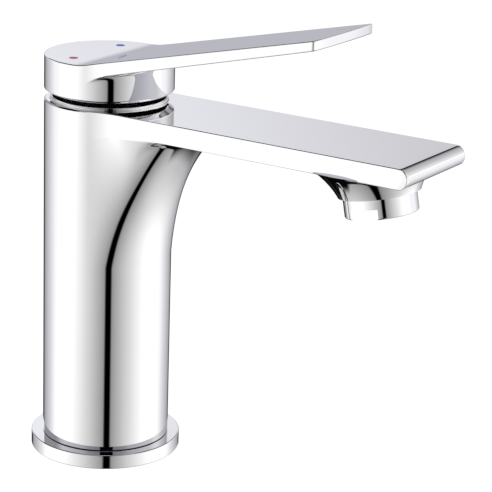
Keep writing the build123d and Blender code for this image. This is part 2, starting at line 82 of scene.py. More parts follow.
# Each part of the studio fades in from its first bound to its second. Heights are degrees above
# the horizon, turns are degrees from the front down and on to the back, and the other bounds are
# sines: DEPTH towards the front, WIDTH away from the slot's plane.
DIM_HEIGHT = (-26, -44)         # the lower walls get a little darker downwards
DIM_SHARE = 0.16
BEHIND_TURN = (115, 150)        # the walls behind, below the horizon
UPPER_HEIGHT = (4, 11)          # the upper walls
UPPER_AHEAD_DEPTH = (-0.3, 0.1)
BOARD_HEIGHT = (-8, -5)         # bright board at the back
BOARD_DEPTH = (-0.5, -0.7)
BOARD_WIDTH = (0.4, 0.3)
BOARD_FULL_HEIGHT = (2, 15.5)   # its lower edge is darker
OVERHEAD_HEIGHT = (55, 60)      # soft light overhead
CEILING_HEIGHT = (33, 42)       # dark ceiling round it
CEILING_END = (72, 62)
REAR_CEILING_HEIGHT = (22, 26)  # which comes lower at the back
REAR_CEILING_DEPTH = (-0.66, -0.82)
GROUND_TURN = (98, 106)         # dark ground under the object
GROUND_END = (150, 138)
GROUND_WIDTH = (0.52, 0.36)

# Display greys that the chrome mirrors, by the distance from the slot's plane.
AHEAD_GREYS = ((0.065, 0), (0.09, 80), (0.105, 136), (0.14, 153), (0.22, 167), (0.3, 178),
               (0.4, 192), (0.5, 206), (0.6, 218), (0.7, 232), (0.8, 247), (0.86, 258))
BEHIND_GREYS = ((0.2, 8), (0.29, 30), (0.34, 105), (0.4, 148), (0.5, 171), (0.6, 186),
                (0.7, 202), (0.8, 221), (0.9, 245))
UPPER_AHEAD_GREYS = ((0.18, 0), (0.2, 112), (0.36, 127), (0.5, 138), (0.62, 162), (0.75, 173),
                     (0.87, 186), (0.95, 198))
# Display greys and extra blue by the place from side to side: 0 to 1 over the whole width, and
# for the board over its middle half.
UPPER_BEHIND_GREYS = ((0, 142, 4), (0.65, 150, 4), (0.76, 170, 4), (0.87, 190, 3), (0.95, 226, 3))
BOARD_GREYS = ((0.465, 238, 8), (0.545, 230, 7), (0.585, 224, 7), (0.635, 213, 6), (0.695, 200, 5),
               (0.855, 190, 5))
BOARD_EDGE_GREY = (180, 9)
OVERHEAD_GREY = (190, 5)

# ---- body, neck and spout, in millimetres ----
BODY_R = -body_low.x
BODY_LOW_Z = body_low.z
RIM_Z = body_high.z
SPOUT_TIP_X = body_high.x
SPOUT_T = 7.0
SPOUT_HALF_W = 20.0
SPOUT_Z = RIM_Z - SPOUT_T
SIDE_BLEND_R = 35.0             # hollow curve from the round body into the spout's flat side
NECK_Z = 74.4                   # the neck starts to sweep forward
NECK_SWEEP_R = 87.2
NECK_SWEEP_MORE = 1e-6          # further gain with the fourth power of the rise
NECK_FLANK = radians(71.2)      # the body's circle gives way to the neck's flank at this angle
FLANK_REACH = (17.0, -9.5)      # growth of the flank curve's rear handle with the rise and its square
FRONT_REACH = (-2.4, 19.5)      # and of its front handle
NECK_FILLET = 3.4               # between the neck and the spout's underside
SOFT_CREASE = 0.5               # rounding where the fillet meets the spout's side
SOFT_OVERHANG = 3.0             # it grows to this where the spout stands out from the neck this little
WIDE_FROM = radians(29)         # a wide blend into the spout's side starts this far from the front
WIDE_TURN = radians(8)          # and sets in over this angle
WIDE_OVERHANG = 7.0             # it is only where the spout stands out less than this
WIDE_GAIN = 14.0                # and makes the fillet's radius up to this many times as large
WIDE_POWER = 1.5
FLANK_PARTS = 300               # parts of the flank's curve when a direction is looked up on it
SPOUT_EDGE = 0.3
RIM_BEVEL = 0.53                # on the body's part of the rim, which the hub swings past
RIM_BEVEL_END_X = 8.0           # up to here it runs out into the spout's finer edge
TIP_SUPPORT = 1.0               # the spout's side ends this far behind the full round of its tip
FOOT_BORE_R = 19.5
FOOT_BORE_TOP_Z = 19.0
FOOT_GAP = 0.25                 # narrow joint between the body and the foot plate, whose faces get painted shade
FOOT_GAP_DEPTH = 0.5
FOOT_EDGE = 0.05
TRIM_BORE_R = 21.0
TRIM_BORE_EDGE = 0.2
TRIM_SEAT_Z = trim_low.z
NUT_BORE_R = 19.5
CHAMBER_R = 17.5
NUT_SEAT_Z = 117.5
CHAMBER_FLOOR_Z = 85.0

# ---- outlet, on an axis that leans forward ----
AERATOR_TILT = radians(11.2)
BOSS_FACE = Vector((110.4, 0, 115.5))   # centre of the boss's lower face
BOSS_R = 13.9
BOSS_SLOPE = 0.4                # gain of radius per millimetre of height, and how it grows
BOSS_FLARE = 0.028
BOSS_ROOT = 0.6                 # the boss ends this far inside the spout
BOSS_FILLET = 1.6
BOSS_SIDES = 160
BOSS_MOST_H = 16.0              # longest that its leaning wall can be
THREAD_R = 12.0
THREAD_FIT = 0.05
THREAD_H = 5.0
SOCKET_DEPTH = 6.4
SUPPLY_R = 8.0
SUPPLY_DEPTH = 9.0
COLLAR_R = 12.4
COLLAR_H = 6.9
LIP_R = 9.6                     # inner radius of the collar's lower lip
LIP_H = 1.5
STACK_R = 10.5                  # bore for the aerator's inner pieces
FLAT_DEPTH = 1.1                # wrench flats on the collar
FLAT_H = 3.5

# ---- foot plate and ring in the gap below the handle ----
PLATE_HOLE_R = FOOT_BORE_R + 0.1
GASKET_GROOVE = (22.2, 24.8, 2.4)   # inner radius, outer radius and depth, below
SEAL_GROOVE = (20.4, 22.3, 1.8)     # and above
TRIM_INNER_R = 17.6
TRIM_SKIRT = 0.3                # the ring's lower part is set in by this
TRIM_BULGE = (128.8, 129.4, 131.2)  # heights where it starts to stand out, is widest and turns in
TRIM_TOP_ROUND = 0.6

# ---- handle ----
CAP_LOW_Z = lever_low.z
CAP_LOW_R = 21.0
CAP_EDGE_Z = 134.4
CAP_TOP_Z = 146.36
CAP_CAVITY_R = 20.6
CAP_CEILING_Z = 143.3
SOCKET_R = 8.5
SOCKET_LOW_Z = 134.5
STEM_HOLE_W = 8.1
STEM_HOLE_TOP_Z = 142.1
HUB_WALL_H = 4.5                # least height of the hub's straight wall under the lever
LEVER_TIP_X = lever_high.x
LEVER_TIP_HALF_W = 19.1
LEVER_ROOT_HALF_W = 21.5        # the lever's sides, drawn on to the axis
LEVER_BLEND_R = 35.0            # hollow curve from the hub into the lever's side
LEVER_CORNER = 1.0
LEVER_TAPER = 0.02              # the lever is this much wider where its corners start
LEVER_END_SAG = 1.1             # the tip's end is a shallow curve
LEVER_SLOPE = tan(radians(12.85))
LEVER_Z0 = 145.475              # height of the lever's top plane above the axis
LEVER_T0 = 5.04                 # thickness at the axis, measured straight down
LEVER_THIN = 0.017              # loss of thickness per millimetre
LEVER_EDGE = 0.4
TOP_CREASE_R = 32.0             # hollow curve between the cap's flat top and the lever
LEVER_FILLET = 1.7              # between the cap's wall and the lever's underside
SCREW_Z = 139.6
SCREW_R = 2.5
SCREW_HOLE_IN = 3.0             # its hole ends this far behind the axis
DOT_R = 1.6
DOT_DEPTH = 0.6

CUTTER_MARGIN = 2.0             # a cutter reaches this far beyond what it cuts

# Shares of the way at which rings cross a face. Those next to an edge keep the face flat-shaded.
ACROSS_UNDERSIDE = (0.02, 0.2, 0.4, 0.6, 0.8, 0.98, 1)
ACROSS_RIM = (0.01, 0.1, 0.5, 0.9, 0.98)
UP_LEVER_SIDE = (0.1, 0.3, 0.5, 0.7, 0.9, 1)


# ======== mesh helpers ========

def steps(low, high, count):
    """Evenly spaced numbers from low to high, both included."""
    return [low + (high - low) * i / count for i in range(count + 1)]


def share(value, low, high):
    """How far a value has come from low to high, from 0 to 1."""
    return min(1, max(0, (value - low) / (high - low)))


def polar(radius, angle, z):
    """Point at a distance and direction from the axis."""
    return Vector((radius * cos(angle), radius * sin(angle), z))


def mirrored(half):
    """Whole ring from its half on the +Y side."""
    return half + [Vector((p.x, -p.y, p.z)) for p in reversed(half[1:-1])]


def round_ring(angles, radius, z):
    """Circle with a point in each direction of a half plan and of its mirror image."""
    return mirrored([polar(radius, angle, z) for angle in angles])


def rings_between(near, far, shares):
    """Rings that lie part of the way from one ring to another."""
    return [[p.lerp(q, t) for p, q in zip(near, far)] for t in shares]


def tidy_mesh(mesh, sharp):
    """Joins points that meet, turns the faces outwards and marks edges sharper than an angle."""
    bm = bmesh.new()
    bm.from_mesh(mesh)
    bmesh.ops.remove_doubles(bm, verts=bm.verts, dist=0.002 * MM)
    bmesh.ops.dissolve_degenerate(bm, edges=bm.edges, dist=0.001 * MM)
    bmesh.ops.recalc_face_normals(bm, faces=bm.faces)
    bm.to_mesh(mesh)
    bm.free()
    mesh.polygons.foreach_set("use_smooth", [True] * len(mesh.polygons))
    mesh.set_sharp_from_angle(angle=radians(sharp))


def make_piece(name, points, faces, sharp=35):
    """Mesh object from points in millimetres."""
    mesh = bpy.data.meshes.new(name)
    mesh.from_pydata([Vector(p) * MM for p in points], [], faces)
    tidy_mesh(mesh, sharp)
    piece = bpy.data.objects.new(name, mesh)
    scene.collection.objects.link(piece)
    return piece


def join_rings(rings, closed=False):
    """Points and faces of the skin over rings of equally many points."""
    count = len(rings[0])
    points = [point for ring in rings for point in ring]
    faces = []
    for i in range(len(rings) if closed else len(rings) - 1):
        near, far = i * count, (i + 1) % len(rings) * count
        for j in range(count):
            k = (j + 1) % count
            faces.append((near + j, near + k, far + k, far + j))
    return points, faces


def ring_solid(name, rings):
    """Solid skinned over rings, with its first and last ring closed."""
    points, faces = join_rings(rings)
    count = len(rings[0])
    faces.append(tuple(range(count)))
    faces.append(tuple(range(len(points) - count, len(points))))
    return make_piece(name, points, faces)


def rounded(corners, parts=6):
    """Closed outline of (x, y, radius) corners with each corner rounded."""
    outline = []
    for i, (x, y, radius) in enumerate(corners):
        corner = Vector((x, y))
        before = (Vector(corners[i - 1][:2]) - corner).normalized()
        after = (Vector(corners[(i + 1) % len(corners)][:2]) - corner).normalized()
        if radius == 0:
            outline.append(corner)
            continue
        half = before.angle(after) / 2
        reach = radius / tan(half)
        centre = corner + (before + after).normalized() * (radius / sin(half))
        start = corner + before * reach - centre
        end = corner + after * reach - centre
        turn = start.angle_signed(end)
        for t in steps(0, 1, parts):
            outline.append(centre + Matrix.Rotation(-turn * t, 2) @ start)
    return outline


def supported(outline, margin=0.03, long=0.4):
    """Outline with a point just inside each end of its long edges, which keeps flats flat-shaded."""
    points = []
    for i, point in enumerate(outline):
        after = outline[(i + 1) % len(outline)]
        step = after - point
        points.append(point)
        if step.length > long:
            points += [point + step.normalized() * margin, after - step.normalized() * margin]
    return points


def lathe(name, corners, axis=Matrix.Identity(4), sides=192, sharp=35):
    """Solid of revolution: a closed outline of (radius, height, rounding) turned about the axis."""
    outline = supported(rounded(corners))
    angles = [2 * pi * i / sides for i in range(sides)]
    rings = [[axis @ polar(radius, angle, z) for angle in angles] for radius, z in outline]
    points, faces = join_rings(rings, closed=True)
    return make_piece(name, points, faces, sharp)


def block(low, high, axis=Matrix.Identity(4)):
    """Box between two corners, used as a cutter."""
    ends = [(low[i], high[i]) for i in range(3)]
    points = [axis @ Vector((x, y, z)) for x in ends[0] for y in ends[1] for z in ends[2]]
    faces = [(0, 1, 3, 2), (4, 6, 7, 5), (0, 4, 5, 1), (2, 3, 7, 6), (0, 2, 6, 4), (1, 5, 7, 3)]
    return make_piece("cutter", points, faces)


def combine(piece, other, operation, sharp=35):
    """Joins a piece with another or cuts it by the other, which is used up."""
    modifier = piece.modifiers.new("combine", "BOOLEAN")
    modifier.operation = operation
    modifier.solver = "EXACT"
    modifier.object = other
    view = bpy.context.evaluated_depsgraph_get()
    mesh = bpy.data.meshes.new_from_object(piece.evaluated_get(view))
    piece.modifiers.clear()
    piece.data = mesh
    bpy.data.objects.remove(other)
    tidy_mesh(mesh, sharp)


# ======== body ========

def spout_plan():
    """Half outline of body and spout seen from above, from the back to the tip.

    Each entry is x, y, the outward direction there, and whether it belongs to the tip, whose end
    is a full round seen from the side.
    """
    centre_y = SPOUT_HALF_W + SIDE_BLEND_R
    centre_x = sqrt((BODY_R + SIDE_BLEND_R) ** 2 - centre_y ** 2)
    meet = atan2(centre_y, centre_x)
    points = []
    for a in steps(pi, meet, 72):
        points.append((BODY_R * cos(a), BODY_R * sin(a), (cos(a), sin(a)), False))
    for a in steps(meet, pi / 2, 12)[1:]:
        points.append((centre_x - SIDE_BLEND_R * cos(a), centre_y - SIDE_BLEND_R * sin(a),
                       (cos(a), sin(a)), False))
    flat_end = SPOUT_TIP_X - SPOUT_T / 2 - TIP_SUPPORT
    first, last = atan2(SPOUT_HALF_W, centre_x), atan2(SPOUT_HALF_W, flat_end)
    for a in steps(first, last, 34)[1:]:
        points.append((SPOUT_HALF_W / tan(a), SPOUT_HALF_W, (0, 1), False))
    for a in steps(pi / 2, 0, 4):
        points.append((SPOUT_TIP_X - SPOUT_EDGE + SPOUT_EDGE * cos(a),
                       SPOUT_HALF_W - SPOUT_EDGE + SPOUT_EDGE * sin(a), (0, sin(a)), True))
    for y in steps(SPOUT_HALF_W - SPOUT_EDGE, 0, 12)[1:]:
        points.append((SPOUT_TIP_X, y, (0, 0), True))
    return points


def neck_radii(angles, z):
    """Distances from the axis to the neck's wall in each direction, at a height.

    The neck's section keeps the body's circle at the back. From the flank on it is a Bezier curve,
    whose front end moves forward and whose handles grow as the neck rises to the spout.
    """
    rise = z - NECK_Z
    if rise <= 0:
        return [BODY_R] * len(angles)
    gone = rise / (SPOUT_Z - NECK_Z)
    front = BODY_R + rise ** 2 / (2 * NECK_SWEEP_R) + NECK_SWEEP_MORE * rise ** 4
    handle = 4 / 3 * tan(NECK_FLANK / 4) * BODY_R
    rear_handle = handle + FLANK_REACH[0] * gone + FLANK_REACH[1] * gone ** 2
    front_handle = handle + FRONT_REACH[0] * gone + FRONT_REACH[1] * gone ** 2
    start = polar(BODY_R, NECK_FLANK, 0).xy
    side = start + Vector((sin(NECK_FLANK), -cos(NECK_FLANK))) * rear_handle
    corner, end = Vector((front, front_handle)), Vector((front, 0))
    flank = []
    for u in steps(0, 1, FLANK_PARTS):
        v = 1 - u
        point = start * v ** 3 + side * (3 * v * v * u) + corner * (3 * v * u * u) + end * u ** 3
        flank.append((atan2(point.y, point.x), point.length))
    radii = []
    for angle in angles:
        if angle >= NECK_FLANK:
            radii.append(BODY_R)
            continue
        far = next(i for i in range(1, FLANK_PARTS + 1) if flank[i][0] <= angle + 1e-9)
        (high, near_r), (low, far_r) = flank[far - 1], flank[far]
        radii.append(far_r + (near_r - far_r) * (angle - low) / (high - low))
    return radii


def held_below(value, limit, softness):
    """Value kept under a limit, with a soft corner between the two."""
    over = value - limit + softness / 2
    if over <= 0:
        return value
    if over >= softness:
        return limit
    return value - over ** 2 / (2 * softness)


def edge_inset(depth, radius):
    """How far a rounded edge is set in, at a depth under its flat face."""
    if depth >= radius:
        return 0
    return radius - sqrt(radius ** 2 - (radius - depth) ** 2)


def arc_climb(radius, reach):
    """Height in which a quarter round gains the reach, or all of its radius."""
    gain = min(radius, reach)
    return sqrt(2 * radius * gain - gain ** 2)


def body_rings():
    """Rings of body, neck and spout: up the outside, over the rim and down into the chamber."""
    plan = spout_plan()
    angles = [atan2(y, x) for x, y, out, tip in plan]
    reaches = [hypot(x, y) for x, y, out, tip in plan]
    overhangs = [reach - radius for reach, radius in zip(reaches, neck_radii(angles, SPOUT_Z))]
    # the spout's lower edge is rounded only where it stands out further than the fillet
    edge_shares = [share(overhang / NECK_FILLET, 0.8, 1.2) for overhang in overhangs]
    tip_r = SPOUT_T / 2

    def neck_ring(z):
        """Ring up the neck and its fillet, held inside the spout's side.

        Where the fillet is larger it starts lower, and so reaches the side at the same height.
        """
        half = []
        for a, reach, overhang, wall in zip(angles, reaches, overhangs, neck_radii(angles, z)):
            overhang = max(overhang, 0.001)
            wide = share(a, WIDE_FROM, WIDE_FROM + WIDE_TURN)
            gain = min(WIDE_GAIN, max(1, WIDE_OVERHANG / overhang) ** (WIDE_POWER * wide))
            size = NECK_FILLET * gain
            earlier = arc_climb(size, overhang) - arc_climb(NECK_FILLET, overhang)
            drop = min(size, max(0, z - SPOUT_Z + NECK_FILLET + earlier))
            fillet = size - sqrt(size ** 2 - drop ** 2)
            narrow = share(overhang, WIDE_OVERHANG, SOFT_OVERHANG)
            softness = SOFT_CREASE + (SOFT_OVERHANG - SOFT_CREASE) * narrow * wide
            radius = held_below(wall + fillet, reach, min(0.8 * overhang, softness))
            half.append(polar(radius, a, z))
        return mirrored(half)

    def spout_ring(z):
        """Ring up the spout's side and round its tip, with rounded edges above and below."""
        half = []
        tip_back = sqrt(max(0, tip_r ** 2 - (z - SPOUT_Z - tip_r) ** 2)) - tip_r
        for (x, y, out, tip), edge_share in zip(plan, edge_shares):
            rim = share(x, RIM_BEVEL_END_X, 0)
            bevel = max(0, RIM_BEVEL - (RIM_Z - z))
            inset = edge_inset(RIM_Z - z, SPOUT_EDGE) * (1 - rim) + bevel * rim
            inset += edge_inset(z - SPOUT_Z, SPOUT_EDGE) * edge_share
            back = tip_back if tip else 0
            half.append(Vector((x - inset * out[0] + back, y - inset * out[1], z)))
        return mirrored(half)

    gap_r, gap_z = BODY_R - FOOT_GAP_DEPTH, BODY_LOW_Z + FOOT_GAP
    foot = [(FOOT_BORE_R, FOOT_BORE_TOP_Z), (FOOT_BORE_R, BODY_LOW_Z), (gap_r, BODY_LOW_Z),
            (gap_r, gap_z), (BODY_R - FOOT_EDGE, gap_z), (BODY_R, gap_z + FOOT_EDGE)]
    wall = [(BODY_R, z) for z in steps(gap_z + 0.35, NECK_Z, 6)]
    rings = [round_ring(angles, radius, z) for radius, z in foot + wall]

    fillet_z = SPOUT_Z - NECK_FILLET
    neck_levels = ceil(1.5 * (fillet_z - NECK_Z))
    rings += [neck_ring(z) for z in steps(NECK_Z, fillet_z, neck_levels)[1:]]
    rings += [neck_ring(fillet_z + NECK_FILLET * sin(a)) for a in steps(0, pi / 2, 24)[1:]]
    rings += rings_between(rings[-1], spout_ring(SPOUT_Z), ACROSS_UNDERSIDE)

    depths = {tip_r * (1 - cos(a)) for a in steps(0, pi, 18)}
    depths |= {SPOUT_EDGE * (1 - cos(a)) for a in steps(0, pi / 2, 4)}
    depths |= {RIM_BEVEL, RIM_BEVEL + 0.03}
    depths |= {SPOUT_T - depth for depth in depths}
    rings += [spout_ring(SPOUT_Z + depth) for depth in sorted(depths)[1:]]

    edge = TRIM_BORE_EDGE
    rings += rings_between(rings[-1], round_ring(angles, TRIM_BORE_R + edge, RIM_Z), ACROSS_RIM)
    for a in steps(0, pi / 2, 3):
        out, up = edge * (1 - sin(a)), edge * (cos(a) - 1)
        rings.append(round_ring(angles, TRIM_BORE_R + out, RIM_Z + up))
    bores = [(TRIM_BORE_R, TRIM_SEAT_Z), (NUT_BORE_R, TRIM_SEAT_Z), (NUT_BORE_R, NUT_SEAT_Z),
             (CHAMBER_R, NUT_SEAT_Z), (CHAMBER_R, CHAMBER_FLOOR_Z)]
    rings += [round_ring(angles, radius, z) for radius, z in bores]
    return rings


def outlet_frame():
    """Axes of the aerator: +Z up its axis, +X forward."""
    turn = Matrix.Rotation(-AERATOR_TILT, 4, "Y")
    return Matrix.Translation(BOSS_FACE) @ turn


def boss_solid():
    """Flared boss of the aerator, cut off just inside the spout."""
    axes = outlet_frame()
    top_z = SPOUT_Z + BOSS_ROOT

    def wall(angle, height):
        """Point of the wall, with the fillet below the spout found by two approximations."""
        plain = BOSS_R + BOSS_SLOPE * height + BOSS_FLARE * height ** 2
        radius = plain
        for approximation in range(2):
            z = (axes @ polar(radius, angle, height)).z
            above = min(BOSS_FILLET, max(0, z - SPOUT_Z + BOSS_FILLET))
            fillet = BOSS_FILLET - sqrt(BOSS_FILLET ** 2 - above ** 2)
            radius = plain + fillet
        return axes @ polar(radius, angle, height)

    columns = []
    for i in range(BOSS_SIDES):
        angle = 2 * pi * i / BOSS_SIDES
        low, high = 0.0, BOSS_MOST_H
        for halving in range(30):
            middle = (low + high) / 2
            if wall(angle, middle).z < top_z:
                low = middle
            else:
                high = middle
        columns.append([wall(angle, high * t) for t in steps(0, 1, 30)])
        columns[-1][-1].z = top_z
    rings = [list(ring) for ring in zip(*columns)]
    return ring_solid("boss", rings)


def darken(piece, inside):
    """Gives faces, picked by the radius and height of their middle, the nearly black painted shade
    material.
    """
    for face in piece.data.polygons:
        centre = face.center / MM
        if inside(hypot(centre.x, centre.y), centre.z):
            face.material_index = 1


def make_body():
    """Body, neck and spout in one, with the outlet boss and its threaded socket."""
    body = ring_solid("spout_body", body_rings())
    combine(body, boss_solid(), "UNION")
    axes = outlet_frame()
    corners = [(0, -CUTTER_MARGIN, 0), (THREAD_R, -CUTTER_MARGIN, 0), (THREAD_R, SOCKET_DEPTH, 0),
               (SUPPLY_R, SOCKET_DEPTH, 0), (SUPPLY_R, SUPPLY_DEPTH, 0), (0, SUPPLY_DEPTH, 0)]
    combine(body, lathe("cutter", corners, axes, sides=96), "DIFFERENCE")
    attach(body, "faucet_body")
    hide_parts("body_casting")
    return body


# ======== handle ========

def lever_plan():
    """Half outline of hub and lever seen from above, from the back to the tip.

    Each entry is x, y and the outward direction there.
    """
    turn = atan2(LEVER_ROOT_HALF_W - LEVER_TIP_HALF_W, LEVER_TIP_X)
    side_gap = LEVER_ROOT_HALF_W * cos(turn)
    hub_turn = turn + acos((side_gap + LEVER_BLEND_R) / (BODY_R + LEVER_BLEND_R))
    points = []
    for a in steps(pi, pi / 2 - hub_turn, 72):
        points.append((BODY_R * cos(a), BODY_R * sin(a), (cos(a), sin(a))))
    blend = Vector((sin(hub_turn), cos(hub_turn))) * (BODY_R + LEVER_BLEND_R)
    for a in steps(hub_turn, turn, 14)[1:]:
        out = Vector((sin(a), cos(a)))
        point = blend - out * LEVER_BLEND_R
        points.append((point.x, point.y, (out.x, out.y)))
    corner_x = LEVER_TIP_X - LEVER_END_SAG - LEVER_CORNER
    corner_y = LEVER_TIP_HALF_W + LEVER_TAPER - LEVER_CORNER
    first, last = atan2(points[-1][1], points[-1][0]), atan2(corner_y + LEVER_CORNER, corner_x)
    for a in steps(first, last, 40)[1:-1]:
        x = LEVER_ROOT_HALF_W / (tan(a) + tan(turn))
        points.append((x, x * tan(a), (sin(turn), cos(turn))))
    for a in steps(pi / 2 - turn, 0.1, 6):
        out = (cos(a), sin(a))
        points.append((corner_x + LEVER_CORNER * out[0], corner_y + LEVER_CORNER * out[1], out))
    for y in steps(corner_y, 0, 10)[1:]:
        sag = LEVER_END_SAG * (y / LEVER_TIP_HALF_W) ** 2
        points.append((LEVER_TIP_X - sag, y, (1, 0)))
    return points


def top_height(x):
    """Height of the cap's flat top, the soft hollow before the lever, and the rising lever."""
    rise = LEVER_Z0 + LEVER_SLOPE * x
    crease_x = (CAP_TOP_Z - LEVER_Z0) / LEVER_SLOPE
    reach = TOP_CREASE_R * LEVER_SLOPE / 2
    if x <= crease_x - reach:
        return CAP_TOP_Z
    if x >= crease_x + reach:
        return rise
    return CAP_TOP_Z + (x - crease_x + reach) ** 2 / (4 * reach) * LEVER_SLOPE


def under_height(x):
    """Height of the lever's underside, which stops falling where it would meet the hub's edge."""
    plane = LEVER_Z0 - LEVER_T0 + (LEVER_SLOPE + LEVER_THIN) * x
    return max(plane, CAP_EDGE_Z + HUB_WALL_H)


def handle_rings():
    """Rings of hub and lever: from the stem's socket out, up the wall and over the lever's edge."""
    plan = lever_plan()
    angles = [atan2(y, x) for x, y, out in plan]
    reaches = [hypot(x, y) for x, y, out in plan]

    def set_in(x, y, out, inset):
        return x - inset * out[0], max(0, y - inset * out[1])

    def top_ring(inset, drop):
        """Ring along the top's edge, set in sideways and down."""
        half = []
        for x, y, out in plan:
            px, py = set_in(x, y, out, inset)
            half.append(Vector((px, py, top_height(px) - drop)))
        return mirrored(half)

    def lower_edge_ring(turn):
        """Ring round the lower edge, which is rounded where the lever stands out from the hub."""
        half = []
        for x, y, out in plan:
            size = LEVER_EDGE if hypot(x, y) - BODY_R > LEVER_FILLET + LEVER_EDGE else 0
            px, py = set_in(x, y, out, size * (1 - sin(turn)))
            z = under_height(x) + size * (1 - cos(turn)) if turn > 0 else under_height(px)
            half.append(Vector((px, py, z)))
        return mirrored(half)

    def wall_ring(t):
        """Ring up the hub's wall, which ends higher under the rising lever."""
        low = CAP_EDGE_Z + 0.3
        tops = [under_height(BODY_R * cos(a)) - LEVER_FILLET for a in angles]
        return mirrored([polar(BODY_R, a, low + (top - low) * t) for a, top in zip(angles, tops)])

    def fillet_ring(turn):
        """Ring round the fillet between the hub's wall and the lever's underside."""
        half = []
        for a, reach in zip(angles, reaches):
            softness = min(0.5, 0.8 * max(reach - BODY_R, 0.001))
            radius = held_below(BODY_R + LEVER_FILLET * (1 - cos(turn)), reach, softness)
            z = under_height(radius * cos(a)) - LEVER_FILLET * (1 - sin(turn))
            half.append(polar(radius, a, z))
        return mirrored(half)

    cavity = [(SOCKET_R, SOCKET_LOW_Z), (SOCKET_R, CAP_CEILING_Z),
              (CAP_CAVITY_R, CAP_CEILING_Z), (CAP_CAVITY_R, CAP_LOW_Z)]
    # chamfer below the hub's edge, and a tiny bevel on that edge
    lean = (BODY_R - CAP_LOW_R) / (CAP_EDGE_Z - CAP_LOW_Z)
    chamfer = [(CAP_LOW_R + lean * rise, CAP_LOW_Z + rise) for rise in (0, 0.1, 0.6, 1.2)]
    chamfer += [(BODY_R - 0.06, CAP_EDGE_Z - 0.05), (BODY_R, CAP_EDGE_Z + 0.1)]
    rings = [round_ring(angles, radius, z) for radius, z in cavity + chamfer]
    rings += [wall_ring(t) for t in steps(0, 1, 8)]
    rings += [fillet_ring(a) for a in steps(0, pi / 2, 12)[1:]]
    rings += rings_between(rings[-1], lower_edge_ring(0), ACROSS_UNDERSIDE)
    rings += [lower_edge_ring(a) for a in steps(0, pi / 2, 3)[1:]]
    rings += rings_between(rings[-1], top_ring(0, LEVER_EDGE), UP_LEVER_SIDE)
    for a in steps(0, pi / 2, 4)[1:]:
        rings.append(top_ring(LEVER_EDGE * (1 - cos(a)), LEVER_EDGE * (1 - sin(a))))
    rings += [top_ring(LEVER_EDGE + margin, 0) for margin in (0.1, 0.5)]
    return rings


def make_handle():
    """Hub and lever in one, hollow below, with the holes for stem, set screw and dots."""
    rings = handle_rings()
    points, faces = join_rings(rings)
    count = len(rings[0])
    faces.append(tuple(range(count)))
    # the top is ruled across: each point joins the one opposite
    base = len(points) - count
    for i in range(count // 2):
        strip = (i, i + 1, (count - i - 1) % count, (count - i) % count)
        faces.append([base + j for j in dict.fromkeys(strip)])
    handle = make_piece("lever_hub", points, faces)
    half_w = STEM_HOLE_W / 2
    low_z = SOCKET_LOW_Z - CUTTER_MARGIN
    stem_hole = block((-half_w, -half_w, low_z), (half_w, half_w, STEM_HOLE_TOP_Z))
    combine(handle, stem_hole, "DIFFERENCE")
    backwards = Matrix.Translation((0, 0, SCREW_Z)) @ Matrix.Rotation(-pi / 2, 4, "Y")
    near, far = SCREW_HOLE_IN, BODY_R + CUTTER_MARGIN
    corners = [(0, near, 0), (SCREW_R, near, 0), (SCREW_R, far, 0), (0, far, 0)]
    combine(handle, lathe("cutter", corners, backwards, sides=48), "DIFFERENCE")
    for node in ("hot_dot", "cold_dot"):
        low, high = box_mm(node)
        centre = (low + high) / 2
        place = Matrix.Translation((centre.x, centre.y, CAP_TOP_Z))
        corners = [(0, -DOT_DEPTH, 0), (DOT_R, -DOT_DEPTH, 0), (DOT_R, CUTTER_MARGIN, 0),
                   (0, CUTTER_MARGIN, 0)]
        combine(handle, lathe("cutter", corners, place, sides=48), "DIFFERENCE")
    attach(handle, "handle")
    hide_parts("lever_handle")
    return handle


# ======== round chrome pieces ========

def make_foot_plate():
    """Round plate under the body, with a groove for a seal on both sides."""
    edge_r, top_z = plate_high.x, plate_high.z
    gasket_in, gasket_out, gasket_depth = GASKET_GROOVE
    seal_in, seal_out, seal_depth = SEAL_GROOVE
    seal_z = top_z - seal_depth
    corners = [(PLATE_HOLE_R, 0, 0.2), (gasket_in, 0, 0.2), (gasket_in, gasket_depth, 0),
               (gasket_out, gasket_depth, 0), (gasket_out, 0, 0.2), (edge_r, 0, 0.4),
               (edge_r, top_z, 0.35), (seal_out, top_z, 0), (seal_out, seal_z, 0),
               (seal_in, seal_z, 0), (seal_in, top_z, 0), (PLATE_HOLE_R, top_z, 0.2)]
    plate = lathe("foot_plate", corners)
    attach(plate, "faucet_body")
    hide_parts("base_plate")
    return plate


def make_gap_ring():
    """Ring seen in the gap between body and hub."""
    low_z, top_z, outer = trim_low.z, trim_high.z, trim_high.x
    skirt = outer - TRIM_SKIRT
    start_z, wide_z, turn_z = TRIM_BULGE
    corners = [(TRIM_INNER_R, low_z, 0), (skirt, low_z, 0), (skirt, start_z, 0), (outer, wide_z, 0.3),
               (outer, turn_z, TRIM_TOP_ROUND), (outer - TRIM_TOP_ROUND, top_z, 0.4),
               (TRIM_INNER_R, top_z, 0.2)]
    ring = lathe("gap_ring", corners)
    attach(ring, "faucet_body")
    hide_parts("trim_ring")
    return ring


